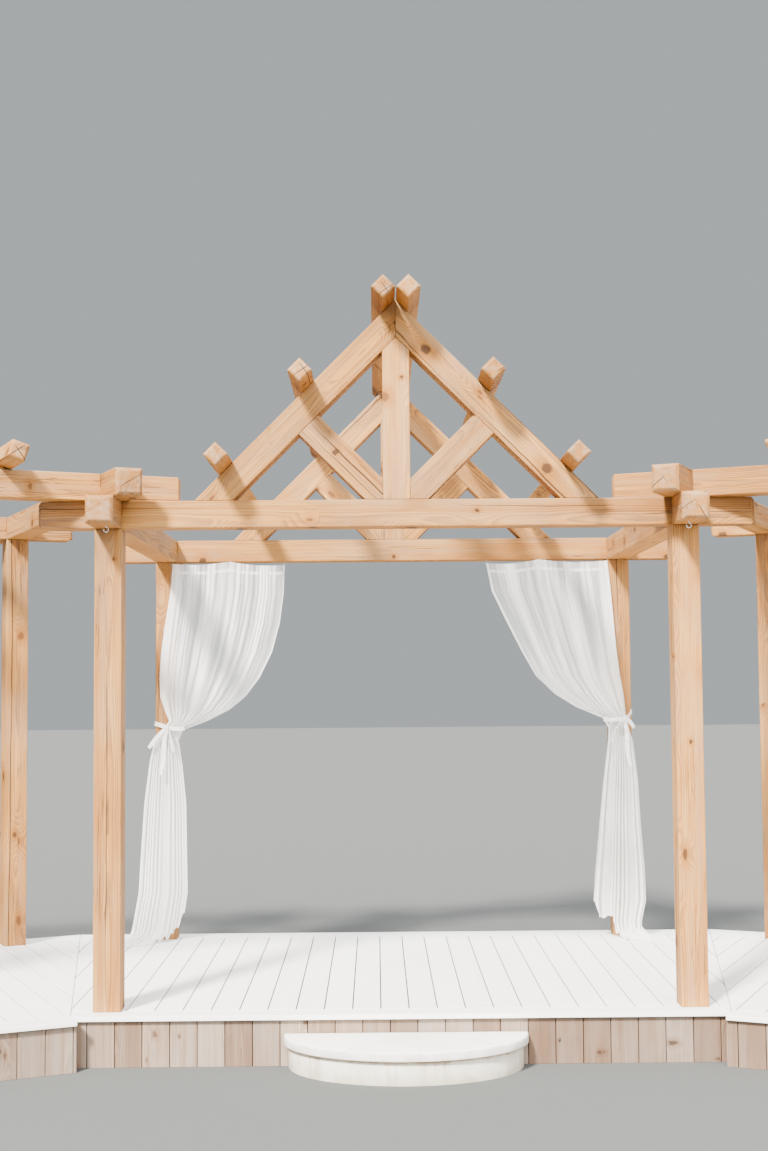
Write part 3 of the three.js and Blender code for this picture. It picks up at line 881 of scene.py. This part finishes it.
def voile_look(name, layer):
    """Sheer cloth. layer is how much one layer hides at the least."""
    look = Look(name)
    threads = look.node("ShaderNodeUVMap", uv_map="threads").outputs[0]
    weave = look.noise(threads, (380, 90, 1), detail=2.0)
    thread = look.noise(threads, (420, 3, 1), detail=2.0)
    wide = look.noise(threads, (7, 0.45, 1), detail=2.0, rough=0.6)
    close = look.attribute("close", "Fac")
    colour = look.over((0.985, 0.985, 0.98), (0.96, 0.96, 0.955), weave, 0.3, 0.7)
    colour = look.over(colour, (0.89, 0.89, 0.885), thread, 0.5, 0.8, 0.25)
    relief = look.bump(look.plus(weave, thread), 0.0003, 0.3)
    look.done(Base_Color=colour, Roughness=0.85, Normal=relief, Specular_IOR_Level=0.15,
              Sheen_Weight=0.25, Sheen_Roughness=0.5)
    lit = look.node("ShaderNodeBsdfTranslucent", {"Color": (0.96, 0.96, 0.95), "Normal": relief})
    cloth = look.node("ShaderNodeMixShader",
                      {0: LIGHT_THROUGH, 1: look.shader.outputs[0], 2: lit.outputs[0]})
    hides = look.plus(look.between(close, 0.0, 1.0, layer, 0.97),
                      look.times(look.less(thread, 0.5), 0.30))
    open_share = look.between(close, 0.2, 0.8, 1.0, 0.12)
    wide = look.times(look.between(wide, 0.38, 0.62, -0.32, 0.30), open_share)
    hides = look.plus(hides, wide, clamp=True)
    clear = look.node("ShaderNodeBsdfTransparent")
    seen = look.node("ShaderNodeMixShader", {0: hides, 1: clear.outputs[0], 2: cloth.outputs[0]})
    look.put(look.tree.nodes["Material Output"].inputs["Surface"], seen.outputs[0])
    return look.material


voile = voile_look("sheer_voile", layer=0.64)

# %% [markdown]
# The folds are waves, fine and shallow at the header, where a tape gathers them, and half as many but
# deeper further down, because cloth that falls free has fewer, wider folds. A slow wave lies under
# them and shifts whole groups, which is what the eye reads as the big soft folds of a sheer curtain.
# On the deck the waves turn over with the cloth and lie as low humps.

# %% Folds
COLUMNS, ROWS = 360, 220
FOLDS = 10
BEND = 0.055                          # radius in which the cloth turns from hanging to lying
LAID = 0.002
SIDE_HEM, FOOT_HEM, HEADER, TAPE = 0.014, 0.05, 0.066, 0.014
MERGE_FROM, MERGE_TO = 0.15, 1.10     # how far down the folds merge in pairs
FIRST_STEP = 0.10                     # how far the hem drops at its first fold
TIE_ROW = 0.48                        # how far down the grid the tie's row lies
FOLD_SHARE, LOW_FOLD_SHARE = 0.44, 0.27   # of the sheet's depth, above the tie and below it
PLEAT_SLACK = 1.25
HOOK_SPACE = 0.004                    # between the cloth and the plane of the posts
HEM_WANDER, HEADER_SAG_FADE = 0.016, 0.35
RUFFLE, RUFFLE_FADE = 0.006, 0.05
TRAIN_DRIFT, TRAIN_SPREAD, TRAIN_FLATTENS = 0.24, 0.20, 0.10


def spread_threads(mesh, threads, cut_place):
    """Smooths a cloth and notes each point's place in the flat cloth in its UV map."""
    for one in mesh.faces:
        one.smooth = True
        for loop in one.loops:
            loop[threads].uv = cut_place[loop.vert]


def fold_at(u, down, seed):
    """How far out of the sheet and along it a thread stands in its folds, each -1 to 1."""
    stray = noise.noise(Vector((u * 3.1, down * 0.40, seed)))
    place = u + 0.040 * stray + 0.055 * math.sin(2 * math.pi * 1.7 * u + seed)
    place += 0.012 * math.sin(2 * math.pi * 4.3 * u + 2 * seed)
    place += 0.008 * noise.noise(Vector((u * 11, down * 0.7, seed + 7)))
    fine = 4 * math.pi * FOLDS * place + seed
    broad = 2 * math.pi * FOLDS * place + seed
    merge = eased(down, MERGE_FROM, MERGE_TO)
    size = 0.80 + 0.60 * noise.noise(Vector((u * 6, down * 0.6, seed + 3)))
    group = math.sin(2 * math.pi * (2.6 * u + 0.5 * stray) + 2 * seed)
    out = ((1 - merge) * math.cos(fine) + merge * math.cos(broad)) * size
    along = ((1 - merge) * math.sin(2 * fine) + merge * math.sin(2 * broad)) * size
    return 0.74 * out + 0.26 * group, along


# %% Curtains


def header_sag(x, peaks):
    """How far the header hangs below its hooks at a distance x from the middle."""
    ends = (0.024, 0.000, 0.012)
    n = 0 if x < peaks[1] else 1
    share = min(1, max(0, (x - peaks[n]) / (peaks[n + 1] - peaks[n])))
    return ends[n] + (ends[n + 1] - ends[n]) * share + 0.014 * math.sin(math.pi * share)


def closeness(u, v, width):
    """How close the cloth lies, from 0 for one layer to 1: gathered, hemmed, taped or doubled."""
    gathered = 1 - 0.62 ** (0.75 * CURTAIN_WIDTH / width - 0.75)
    at_side = min(u, 1 - u) * CURTAIN_WIDTH < SIDE_HEM
    at_foot = (1 - v) * CURTAIN_LENGTH < FOOT_HEM
    at_tape = abs(v * CURTAIN_LENGTH - HEADER) < TAPE / 2 + 0.004
    in_header = 0.18 if v * CURTAIN_LENGTH < HEADER else 0
    return max(gathered, 0.75 if at_side or at_tape else (0.45 if at_foot else in_header))


def hang_curtain(name, side, outline, peaks, tie_height, hem_lengths, trails_from, fullness, seed):
    """One curtain. hem_lengths is the cloth below the tie, at the opening's side and at the outer one,
    trails_from the share of the width from which it grows from the one to the other."""
    mesh = bmesh.new()
    bmesh.ops.create_grid(mesh, x_segments=COLUMNS, y_segments=ROWS, size=0.5)
    threads = mesh.loops.layers.uv.new("threads")
    close = mesh.verts.layers.float.new("close")
    top = outline[0][0]
    cut_place = {}
    for vertex in mesh.verts:
        u, v = vertex.co.x + 0.5, 0.5 - vertex.co.y
        drop = FIRST_STEP * eased(u, 0.02, 0.09)
        trail = max(0, (u - trails_from) / (1 - trails_from)) ** (1 - trails_from)
        below = hem_lengths[0] + drop + (hem_lengths[1] - hem_lengths[0] - drop) * trail
        below += HEM_WANDER * noise.noise(Vector((u * 6, 0, seed)))
        if v < TIE_ROW:
            height = top + (tie_height - top) * (v / TIE_ROW)
        else:
            height = tie_height - (v - TIE_ROW) / (1 - TIE_ROW) * below
        inner, outer, depth = outline_at(outline, max(height, 0))
        down = top - max(height, 0)
        width = outer - inner
        out, along = fold_at(u, down, seed)
        count = FOLDS * (2 - eased(down, MERGE_FROM, MERGE_TO))
        need = PLEAT_SLACK * math.sqrt(max(0, CURTAIN_WIDTH ** 2 - width ** 2)) / (4 * count)
        room = FOLD_SHARE + (LOW_FOLD_SHARE - FOLD_SHARE) * eased(down, 1.0, 1.5)
        swing = fullness * min(need, depth * room)
        past = max(0, BEND + LAID + swing - height)
        lean = min(past / BEND, math.pi / 2)
        lying = max(0, past - BEND * math.pi / 2)
        flat_swing = swing * (0.30 + 0.70 * math.exp(-lying / TRAIN_FLATTENS))
        hanging = CURTAIN_PLANE - depth / 2 - HOOK_SPACE
        ruffle = math.exp(-v * CURTAIN_LENGTH / RUFFLE_FADE) * RUFFLE * math.sin(44 * u + seed)
        x = inner + width * u + 0.12 * along * width / count
        x += (TRAIN_DRIFT + TRAIN_SPREAD * (u - 0.5)) * lying
        y = hanging - BEND * (1 - math.cos(lean)) - lying - out * flat_swing * math.cos(lean) + ruffle
        if lean > 0:
            z = LAID + flat_swing + BEND * (1 - math.sin(lean)) + out * flat_swing * math.sin(lean)
        else:
            z = height - header_sag(inner + width * u, peaks) * math.exp(-down / HEADER_SAG_FADE)
        vertex.co = Vector((side * x, y, DECK_TOP + z))
        cut_place[vertex] = (u * CURTAIN_WIDTH, v * CURTAIN_LENGTH)
        vertex[close] = closeness(u, v, width)
    spread_threads(mesh, threads, cut_place)
    return piece_from(mesh, name, "sheer_cloth", voile, name.replace("_voile", ""))


curtain_right = hang_curtain("curtain_right_voile", 1, RIGHT_OUTLINE, RIGHT_PEAKS, tie_height=1.40,
                             hem_lengths=(1.17, 1.74), trails_from=0.38, fullness=1.00, seed=1.3)
curtain_left = hang_curtain("curtain_left_voile", -1, LEFT_OUTLINE, LEFT_PEAKS, tie_height=1.36,
                            hem_lengths=(1.18, 1.70), trails_from=0.14, fullness=0.84, seed=4.1)
print("faces in a curtain:", len(curtain_right.data.polygons))

# %% [markdown]
# ## Ribbon ties
#
# A ribbon of the same cloth goes round the gathered curtain and its post and is knotted in front,
# with one loop and two ends hanging. A ribbon is a strip that follows a path, so it starts as a
# narrow grid. Each row is set across the path, with a direction given for its width at every point.

# %% Ribbons
RIBBON, RIBBON_CLOTH = 0.030, 0.0010
ON_CLOTH, ON_POST = 0.006, 0.003      # how far a ribbon lies off what it goes round
TAIL_STEPS, KNOT_POINTS = 7, 10
ribbon_cloth = voile_look("tie_ribbon", layer=0.93)


def on_path(points, share):
    """A place on a smooth curve through these points, and the direction there."""
    place = share * (len(points) - 1)
    n = min(int(place), len(points) - 2)
    t = place - n
    a, b, c, d = (points[min(max(n + k, 0), len(points) - 1)] for k in (-1, 0, 1, 2))
    spot = 0.5 * (2 * b + (c - a) * t + (2 * a - 5 * b + 4 * c - d) * t ** 2
                  + (3 * b - a - 3 * c + d) * t ** 3)
    way = 0.5 * ((c - a) + 2 * (2 * a - 5 * b + 4 * c - d) * t + 3 * (3 * b - a - 3 * c + d) * t ** 2)
    return spot, way.normalized()


def add_ribbon(mesh, points, across, width=RIBBON, curl=0.10):
    """Lays a strip along the points. across holds one width direction per point."""
    points, across = [Vector(p) for p in points], [Vector(a) for a in across]
    length = sum((b - a).length for a, b in zip(points, points[1:]))
    strip = bmesh.new()
    bmesh.ops.create_grid(strip, x_segments=max(12, int(length / 0.006)), y_segments=6, size=0.5)
    threads = strip.loops.layers.uv.new("threads")
    strip.verts.layers.float.new("close")
    cut_place = {}
    for vertex in strip.verts:
        along, side = vertex.co.x + 0.5, vertex.co.y * 2
        spot, way = on_path(points, along)
        wide = on_path(across, along)[0]
        wide = (wide - way * wide.dot(way)).normalized()
        out = way.cross(wide)
        cupped = curl * width * (1 - side * side) * math.sin(along * 9 + side)
        vertex.co = spot + wide * side * width / 2 + out * cupped
        cut_place[vertex] = (along * length, side * width / 2)
    spread_threads(strip, threads, cut_place)
    bmesh.ops.solidify(strip, geom=strip.faces[:], thickness=RIBBON_CLOTH)
    bmesh.ops.recalc_face_normals(strip, faces=strip.faces)
    add_to(mesh, strip)


def add_knot(mesh, middle):
    """Two turns of ribbon, one over the other."""
    round_it = [math.tau * n / KNOT_POINTS for n in range(KNOT_POINTS + 1)]
    turn = [middle + 0.0125 * Vector((0.25 * math.sin(a), -math.sin(a), 1.15 * math.cos(a)))
            for a in round_it]
    add_ribbon(mesh, turn, [(1, 0, 0.25)] * len(turn), width=0.022, curl=0.16)
    wrap = [middle + 0.0095 * Vector((1.3 * math.cos(a), -1.1 * math.sin(a), 0.5 * math.cos(a)))
            for a in round_it]
    add_ribbon(mesh, wrap, [(0.1, 0, 1)] * len(wrap), width=0.018, curl=0.2)


# %% Ties


def tie_back(name, side, outline, h, knot_x, around_rise, loop_end, short_end, tail_end):
    """The ribbon round a curtain and its post at height h, with its knot, loop, short end and tail."""
    inner, _, depth = outline_at(outline, h - 0.012)
    front, post_front = CURTAIN_PLANE - depth - ON_CLOTH, CURTAIN_PLANE
    post_left, post_right = CORNER - HALF_TIMBER - ON_POST, CORNER + HALF_TIMBER + ON_POST
    post_rear = post_front + 2 * HALF_TIMBER + ON_POST
    mesh = bmesh.new()
    band = [(knot_x, front - 0.002, h), (inner + 0.05, front - 0.002, h - 0.006),
            (inner + 0.004, front + 0.010, h - 0.004), (inner - 0.005, front + 0.035, h),
            (inner + 0.010, post_front - 0.012, h + 0.002), (post_left, post_front + 0.004, h + 0.004),
            (post_left, post_front + 0.05, h + 0.006), (post_left, post_rear - 0.012, h + 0.010),
            (post_left + 0.012, post_rear, h + 0.012), (post_right - 0.012, post_rear, h + 0.022),
            (post_right, post_rear - 0.012, h + 0.024), (post_right, post_front + 0.06, h + 0.032),
            (post_right + 0.001, post_front + 0.004, h + around_rise),
            (post_right - 0.010, post_front - 0.012, h + around_rise - 0.006),
            (knot_x + 0.028, front + 0.020, h + 0.012), (knot_x, front - 0.002, h)]
    add_ribbon(mesh, band, [(0, 0, 1)] * len(band), width=RIBBON * 0.9, curl=0.03)
    k = Vector((knot_x, front - 0.008, h))
    add_knot(mesh, k)
    lx, lh = loop_end
    loop = [k, (knot_x * 0.62 + lx * 0.38, front - 0.022, h - 0.030),
            (lx + 0.006, front - 0.020, lh + 0.055),
            (lx - 0.002, front - 0.012, lh), (lx + 0.012, front - 0.002, lh + 0.012),
            (lx + 0.022, front + 0.000, lh + 0.070), (knot_x - 0.016, front - 0.003, h - 0.020), k]
    loop_across = [(0.1, 0.5, 0.8), (0.5, 0.8, 0.4), (0.5, 0.8, 0), *[(0.6, 0.8, 0)] * 3,
                   (0.4, 0.6, 0.3), (0.1, 0.5, 0.8)]
    add_ribbon(mesh, loop, loop_across, width=0.024, curl=0.10)
    sx, sh = short_end
    end = [k, (knot_x * 0.5 + sx * 0.5, front - 0.016, h * 0.5 + sh * 0.5 + 0.012),
           (sx, front - 0.010, sh)]
    add_ribbon(mesh, end, [(0.4, 0, 1), (0.55, 0.2, 0.8), (0.7, 0.4, 0.6)], width=0.026, curl=0.16)
    tx, th = tail_end
    tail = [k]
    for n in range(1, TAIL_STEPS):
        share = n / (TAIL_STEPS - 1)
        at = h + (th - h) * share
        tail.append((knot_x + (tx - knot_x) * share ** 0.8 + 0.004 * math.sin(7 * share),
                     CURTAIN_PLANE - outline_at(outline, at)[2] - ON_CLOTH, at))
    add_ribbon(mesh, tail, [(1, 0.2 * math.sin(2 * n), 0) for n in range(TAIL_STEPS)], curl=0.14)
    bmesh.ops.translate(mesh, verts=mesh.verts, vec=(0, 0, DECK_TOP))
    if side < 0:
        bmesh.ops.scale(mesh, verts=mesh.verts, vec=(-1, 1, 1))
        bmesh.ops.recalc_face_normals(mesh, faces=mesh.faces)
    return piece_from(mesh, name, "sheer_cloth", ribbon_cloth)


tie_right = tie_back("tie_right_ribbon", 1, RIGHT_OUTLINE, 1.398, 1.487, 0.044,
                     (1.405, 1.256), (1.550, 1.341), (1.517, 1.092))
tie_left = tie_back("tie_left_ribbon", -1, LEFT_OUTLINE, 1.362, 1.463, 0.030,
                    (1.420, 1.215), (1.580, 1.235), (1.500, 1.060))

# %% [markdown]
# ## Hooks
#
# Small cup hooks under the rear beam hold the curtains' headers, and a larger zinc screw hook hangs
# under the front end of each side beam, for a lantern or a basket. A hook is bent wire, so it is a
# curve with a round bevel: a short shank down, then most of a circle.

# %% Screw hooks
LANTERN_HOOK, LANTERN_WIRE = 0.040, 0.004
HEADER_HOOK, HEADER_WIRE = 0.022, 0.0022
SCREWED_IN = 0.006


def zinc_look():
    look = Look("dull_zinc")
    dull = look.noise(look.place(), 220, detail=3.0)
    colour = look.over((0.55, 0.54, 0.52), (0.32, 0.31, 0.29), dull, 0.4, 0.7)
    rough = look.between(dull, 0.3, 0.7, 0.22, 0.45)
    return look.done(Base_Color=colour, Roughness=rough, Metallic=1.0)


def bend_hooks(name, places, drop, wire):
    """Hooks at these places, hanging drop below them, as one piece of bent wire."""
    curve = bpy.data.curves.new(name, "CURVE")
    curve.dimensions, curve.bevel_depth, curve.bevel_resolution = "3D", wire / 2, 3
    curve.use_fill_caps = True
    eye = drop * 0.30
    for place in places:
        root = Vector(place)
        centre = root - Vector((0, 0, drop - eye))
        points = [root + Vector((0, 0, SCREWED_IN)), root - Vector((0, 0, drop * 0.22))]
        points += [centre + eye * Vector((math.sin(a), 0, math.cos(a)))
                   for a in (math.radians(d) for d in range(0, 286, 15))]
        line = curve.splines.new("POLY")
        line.points.add(len(points) - 1)
        for spot, point in zip(line.points, points):
            spot.co = (*point, 1)
    curve.materials.append(zinc)
    hooks = stand(name, curve)
    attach(hooks, "root")


zinc = zinc_look()
side_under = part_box("beam_side_right")[0].z
lantern_places = [(side * (CORNER - 0.028), FRONT_ROW - 0.30, side_under) for side in (-1, 1)]
bend_hooks("lantern_hooks", lantern_places, LANTERN_HOOK, LANTERN_WIRE)
rear_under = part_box("beam_rear")[0].z
header_y = CURTAIN_PLANE - 0.014
header_places = [(side * x, header_y, rear_under)
                 for side, peaks in ((1, RIGHT_PEAKS), (-1, LEFT_PEAKS)) for x in peaks]
bend_hooks("curtain_hooks", header_places, HEADER_HOOK, HEADER_WIRE)
print("hooks under", round(side_under, 3), "and", round(rear_under, 3))
